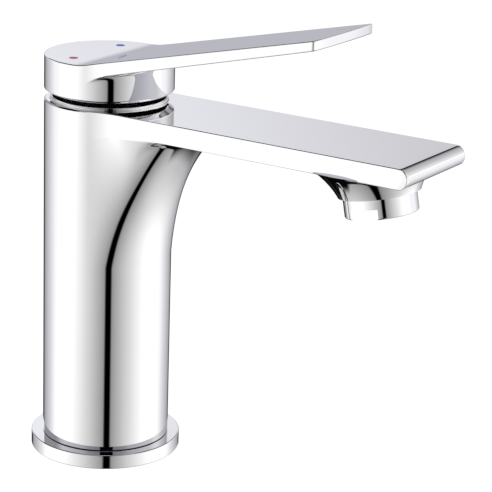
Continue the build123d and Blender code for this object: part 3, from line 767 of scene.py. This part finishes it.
def make_collar():
    """Aerator's screwed collar with two wrench flats."""
    axes = outlet_frame()
    thread_r = THREAD_R - THREAD_FIT
    lip_top = LIP_H - COLLAR_H
    corners = [(LIP_R, -COLLAR_H, 0.3), (COLLAR_R, -COLLAR_H, 0.5), (COLLAR_R, 0, 0.2),
               (thread_r, 0, 0), (thread_r, THREAD_H, 0.4), (STACK_R, THREAD_H, 0.3),
               (STACK_R, lip_top, 0), (LIP_R, lip_top, 0.2)]
    collar = lathe("aerator_collar", corners, axes, sharp=20)
    beyond, low_z = COLLAR_R + CUTTER_MARGIN, -COLLAR_H - CUTTER_MARGIN
    for side in (-1, 1):
        near, far = sorted((side * (COLLAR_R - FLAT_DEPTH), side * beyond))
        cutter = block((-beyond, near, low_z), (beyond, far, FLAT_H - COLLAR_H), axes)
        combine(collar, cutter, "DIFFERENCE", sharp=20)
    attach(collar, "faucet_body")
    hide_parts("aerator_ring")
    return collar


# ======== materials ========

GRAIN_RANGE = (0.3, 0.7)        # the noise's usual lowest and highest values
RELIEF = 0.05                   # height of a rough material's bumps, in millimetres


def linear(value):
    """Linear light of an 8-bit display value."""
    v = value / 255
    return v / 12.92 if v <= 0.04045 else ((v + 0.055) / 1.055) ** 2.4


class Graph:
    """Node tree, with a short call for each kind of node used here."""

    def __init__(self, tree):
        self.nodes = tree.nodes
        self.links = tree.links

    def feed(self, socket, value):
        """Links an output to a socket, or sets the socket to a plain value."""
        if isinstance(value, bpy.types.NodeSocket):
            self.links.new(value, socket)
        else:
            socket.default_value = value

    def noise(self, scale, stretch=(1, 1, 1)):
        """Noise over the object's own coordinates, in features per metre."""
        mapping = self.nodes.new("ShaderNodeMapping")
        mapping.inputs["Scale"].default_value = stretch
        place = self.nodes.new("ShaderNodeTexCoord").outputs["Object"]
        self.links.new(place, mapping.inputs["Vector"])
        node = self.nodes.new("ShaderNodeTexNoise")
        node.inputs["Scale"].default_value = scale
        node.inputs["Detail"].default_value = 3
        self.links.new(mapping.outputs["Vector"], node.inputs["Vector"])
        return node.outputs[0]

    def remap(self, source, before, after, kind="LINEAR"):
        """Number that goes over one range while the source goes over another."""
        node = self.nodes.new("ShaderNodeMapRange")
        node.interpolation_type = kind
        for name, value in zip(("From Min", "From Max", "To Min", "To Max"), before + after):
            node.inputs[name].default_value = value
        self.links.new(source, node.inputs["Value"])
        return node.outputs["Result"]

    def fade(self, source, bounds):
        """Smooth change from 0 at the first bound to 1 at the second."""
        return self.remap(source, bounds, (0, 1), "SMOOTHSTEP")

    def fade_degrees(self, angle, bounds):
        return self.fade(angle, (radians(bounds[0]), radians(bounds[1])))

    def ramp(self, source, stops):
        """Colour that follows a source over (position, colour) stops."""
        node = self.nodes.new("ShaderNodeValToRGB")
        elements = node.color_ramp.elements
        for i, (position, colour) in enumerate(stops):
            element = elements[i] if i < 2 else elements.new(position)
            element.position = position
            element.color = colour
        self.links.new(source, node.inputs[0])
        return node.outputs[0]

    def math(self, operation, *values):
        node = self.nodes.new("ShaderNodeMath")
        node.operation = operation
        for socket, value in zip(node.inputs, values):
            self.feed(socket, value)
        return node.outputs[0]

    def product(self, first, *others):
        result = first
        for factor in others:
            result = self.math("MULTIPLY", result, factor)
        return result

    def mix(self, factor, before, after):
        """Colour that goes from one to another with a factor."""
        node = self.nodes.new("ShaderNodeMix")
        node.data_type = "RGBA"
        for index, value in ((0, factor), (6, before), (7, after)):
            self.feed(node.inputs[index], value)
        return node.outputs[2]

    def along(self, source, direction):
        """Share of a vector that lies along a direction."""
        node = self.nodes.new("ShaderNodeVectorMath")
        node.operation = "DOT_PRODUCT"
        self.links.new(source, node.inputs[0])
        node.inputs[1].default_value = direction
        return node.outputs["Value"]


def new_material(name):
    material = bpy.data.materials.new(name)
    material.use_nodes = True
    return material, Graph(material.node_tree), material.node_tree.nodes["Principled BSDF"]


def textured(name, colour, variation, roughness, scale, metallic=0, bump=0, stretch=(1, 1, 1)):
    """Material whose colour, roughness and relief vary with noise."""
    material, graph, shader = new_material(name)
    grain = graph.noise(scale, stretch)
    calm, strong = GRAIN_RANGE
    dark = tuple(c * (1 - variation) for c in colour) + (1,)
    light = tuple(min(1, c * (1 + variation)) for c in colour) + (1,)
    graph.feed(shader.inputs["Base Color"], graph.ramp(grain, [(calm, dark), (strong, light)]))
    graph.feed(shader.inputs["Roughness"], graph.remap(grain, GRAIN_RANGE, roughness))
    shader.inputs["Metallic"].default_value = metallic
    if bump:
        relief = graph.nodes.new("ShaderNodeBump")
        relief.inputs["Strength"].default_value = bump
        relief.inputs["Distance"].default_value = RELIEF * MM
        graph.feed(relief.inputs["Height"], graph.noise(scale * 4))
        graph.feed(shader.inputs["Normal"], relief.outputs["Normal"])
    return material


def chrome_plate():
    """Polished chrome with a barely visible change of polish."""
    return textured("chrome", (CHROME_REFLECTANCE,) * 3, variation=0.004, roughness=(0.015, 0.03),
                    scale=60, metallic=1)


def painted_shade_material():
    """Nearly black rough material, painted shade for gaps and hollows."""
    return textured("painted_shade_material", (0.022, 0.021, 0.02), variation=0.4, roughness=(0.6, 0.8),
                    scale=900, bump=0.4)


def machined_brass():
    return textured("brass", (0.42, 0.3, 0.12), variation=0.12, roughness=(0.28, 0.42),
                    scale=700, metallic=1, stretch=(1, 1, 8))


def black_rubber():
    return textured("rubber", (0.018, 0.018, 0.02), variation=0.25, roughness=(0.6, 0.8),
                    scale=1500, bump=0.5)


def lapped_ceramic():
    return textured("ceramic", (0.86, 0.84, 0.78), variation=0.03, roughness=(0.18, 0.28), scale=1200)


def plastic(name, colour):
    return textured(name, colour, variation=0.04, roughness=(0.38, 0.5), scale=1400, bump=0.25)


def ground_steel():
    return textured("steel", (0.58, 0.58, 0.6), variation=0.1, roughness=(0.22, 0.36),
                    scale=500, metallic=1, stretch=(1, 1, 12))


def enamel(name, colour):
    return textured(name, colour, variation=0.05, roughness=(0.3, 0.4), scale=1500)


def paint_nodes():
    """Gives every CAD node a material by its slot, but the nut seen in the gap the nearly black
    painted shade.
    """
    slots = {
        "chrome": chrome,
        "brass": machined_brass(),
        "rubber": black_rubber(),
        "ceramic": lapped_ceramic(),
        "grey_plastic": plastic("grey_plastic", (0.48, 0.49, 0.5)),
        "white_plastic": plastic("white_plastic", (0.8, 0.8, 0.77)),
        "black_plastic": plastic("black_plastic", (0.02, 0.02, 0.022)),
        "steel": ground_steel(),
        "red": enamel("red", (0.3, 0.015, 0.045)),
        "blue": enamel("blue", (0.035, 0.035, 0.27)),
    }
    for part in frame["record"]["subparts"]:
        materials = frame["nodes"][part["node"]].data.materials
        materials.clear()
        # the nut in the gap below the handle gets painted shade instead of its own material
        materials.append(hollow_shade if part["node"] == "retaining_nut" else slots[part["material_slot"]])


# ======== studio ========

def make_camera():
    """Camera on a line back from its target, turned about that line by a small roll."""
    back = Vector((sin(CAMERA_AZIMUTH) * cos(CAMERA_ELEVATION),
                   -cos(CAMERA_AZIMUTH) * cos(CAMERA_ELEVATION), sin(CAMERA_ELEVATION)))
    level = Vector((cos(CAMERA_AZIMUTH), sin(CAMERA_AZIMUTH), 0))
    right = Matrix.Rotation(CAMERA_ROLL, 3, back) @ level
    up = back.cross(right)
    data = bpy.data.cameras.new("camera")
    data.sensor_width = 36
    data.lens = CAMERA_LENS
    data.clip_start = 0.01
    data.clip_end = 20
    camera = bpy.data.objects.new("camera", data)
    axes = Matrix((right, up, back)).transposed()
    camera.matrix_world = Matrix.Translation(CAMERA_TARGET + back * CAMERA_DISTANCE) @ axes.to_4x4()
    scene.collection.objects.link(camera)
    scene.camera = camera


def mirrored_grey(value, blue=0):
    """Light that the chrome reflects as a display grey, with a little extra blue."""
    level, cold = linear(value) / CHROME_REFLECTANCE, linear(value + blue) / CHROME_REFLECTANCE
    return (level, level, cold, 1)


def grey_stops(stops, blue=0):
    """Ramp stops from (position, display grey), which may be followed by the stop's own extra blue."""
    return [(stop[0], mirrored_grey(stop[1], stop[2] if len(stop) > 2 else blue)) for stop in stops]


def make_world():
    """Studio seen by the chrome.

    A black slot runs in front and behind, between walls that get lighter to its sides and greyer
    above the horizon. A bright board stands at the back, a soft light hangs overhead in a dark
    ceiling, and there is dark ground under the object.
    """
    world = bpy.data.worlds.new("studio")
    scene.world = world
    world.use_nodes = True
    graph = Graph(world.node_tree)
    graph.nodes.clear()
    place = graph.nodes.new("ShaderNodeTexCoord").outputs["Generated"]
    depth = graph.along(place, (sin(STUDIO_AZIMUTH), -cos(STUDIO_AZIMUTH), 0))
    side = graph.along(place, (cos(STUDIO_AZIMUTH), sin(STUDIO_AZIMUTH), 0))
    width = graph.math("ABSOLUTE", side)
    height = graph.math("ARCSINE", graph.along(place, (0, 0, 1)))
    turn = graph.math("ARCTAN2", graph.along(place, (0, 0, -1)), depth)

    ahead = graph.ramp(width, grey_stops(AHEAD_GREYS))
    dim = graph.product(graph.fade_degrees(height, DIM_HEIGHT), DIM_SHARE)
    ahead = graph.mix(dim, ahead, (0, 0, 0, 1))
    behind = graph.ramp(width, grey_stops(BEHIND_GREYS, blue=4))
    lower = graph.mix(graph.fade_degrees(turn, BEHIND_TURN), ahead, behind)

    ahead = graph.ramp(width, grey_stops(UPPER_AHEAD_GREYS, blue=8))
    across = graph.math("MULTIPLY_ADD", side, 0.5, 0.5)
    behind = graph.ramp(across, grey_stops(UPPER_BEHIND_GREYS))
    upper = graph.mix(graph.fade(depth, UPPER_AHEAD_DEPTH), behind, ahead)
    pattern = graph.mix(graph.fade_degrees(height, UPPER_HEIGHT), lower, upper)

    board = graph.ramp(graph.math("ADD", side, 0.5), grey_stops(BOARD_GREYS))
    full = graph.fade_degrees(height, BOARD_FULL_HEIGHT)
    board = graph.mix(full, mirrored_grey(*BOARD_EDGE_GREY), board)
    on_board = graph.product(graph.fade(width, BOARD_WIDTH), graph.fade(depth, BOARD_DEPTH),
                             graph.fade_degrees(height, BOARD_HEIGHT))
    pattern = graph.mix(on_board, pattern, board)

    overhead = graph.fade_degrees(height, OVERHEAD_HEIGHT)
    pattern = graph.mix(overhead, pattern, mirrored_grey(*OVERHEAD_GREY))
    below_light = graph.fade_degrees(height, CEILING_END)
    ceiling = graph.product(graph.fade_degrees(height, CEILING_HEIGHT), below_light)
    rear_ceiling = graph.product(graph.fade_degrees(height, REAR_CEILING_HEIGHT),
                                 graph.fade(depth, REAR_CEILING_DEPTH), below_light)
    ground = graph.product(graph.fade_degrees(turn, GROUND_TURN),
                           graph.fade_degrees(turn, GROUND_END), graph.fade(width, GROUND_WIDTH))
    for dark in (ceiling, rear_ceiling, ground):
        pattern = graph.mix(dark, pattern, NEARLY_BLACK)

    seen = graph.nodes.new("ShaderNodeLightPath").outputs["Is Camera Ray"]
    shader = graph.nodes.new("ShaderNodeBackground")
    graph.feed(shader.inputs["Color"], graph.mix(seen, pattern, BACKGROUND))
    output = graph.nodes.new("ShaderNodeOutputWorld")
    graph.feed(output.inputs["Surface"], shader.outputs[0])


def make_floor():
    """Pale floor, bright enough to look like the white background, and not mirrored."""
    bpy.ops.mesh.primitive_plane_add(size=6)
    floor = bpy.context.object
    floor.name = "floor"
    material, graph, shader = new_material("floor")
    shader.inputs["Base Color"].default_value = (0.05, 0.05, 0.05, 1)
    shader.inputs["Roughness"].default_value = 0.9
    shader.inputs["Specular IOR Level"].default_value = 0.1
    shader.inputs["Emission Color"].default_value = (1, 1, 1, 1)
    shader.inputs["Emission Strength"].default_value = 1.0
    floor.data.materials.append(material)
    floor.visible_glossy = False


def make_light(name, place, size, power):
    """Round soft light that points at the object and isn't mirrored in it."""
    data = bpy.data.lights.new(name, "AREA")
    data.shape = "DISK"
    data.size = size
    data.energy = power
    light = bpy.data.objects.new(name, data)
    light.location = place
    light.rotation_mode = "QUATERNION"
    light.rotation_quaternion = (Vector(place) - LIT_POINT).to_track_quat("Z", "Y")
    light.visible_glossy = False
    scene.collection.objects.link(light)


make_camera()
make_world()
make_floor()
make_light("key", (-0.5, -0.6, 1.4), size=1.2, power=30)
scene.view_settings.view_transform = "Standard"

chrome = chrome_plate()
hollow_shade = painted_shade_material()
body, handle = make_body(), make_handle()
for piece in (body, handle, make_foot_plate(), make_gap_ring(), make_collar()):
    piece.data.materials.clear()
    piece.data.materials.append(chrome)
    piece.data.materials.append(hollow_shade)
# painted shade: the foot's joint, the bores inside the body and the hub's hollow get the nearly black
# material
gap_z, chamber_r = BODY_LOW_Z + 0.9 * FOOT_GAP, NUT_BORE_R + 0.1
cavity_r, cavity_z = CAP_CAVITY_R + 0.1, CAP_CEILING_Z + 0.1
darken(body, lambda r, z: z < gap_z or (r < chamber_r and z > CHAMBER_FLOOR_Z))
darken(handle, lambda r, z: r < cavity_r and z < cavity_z)
paint_nodes()
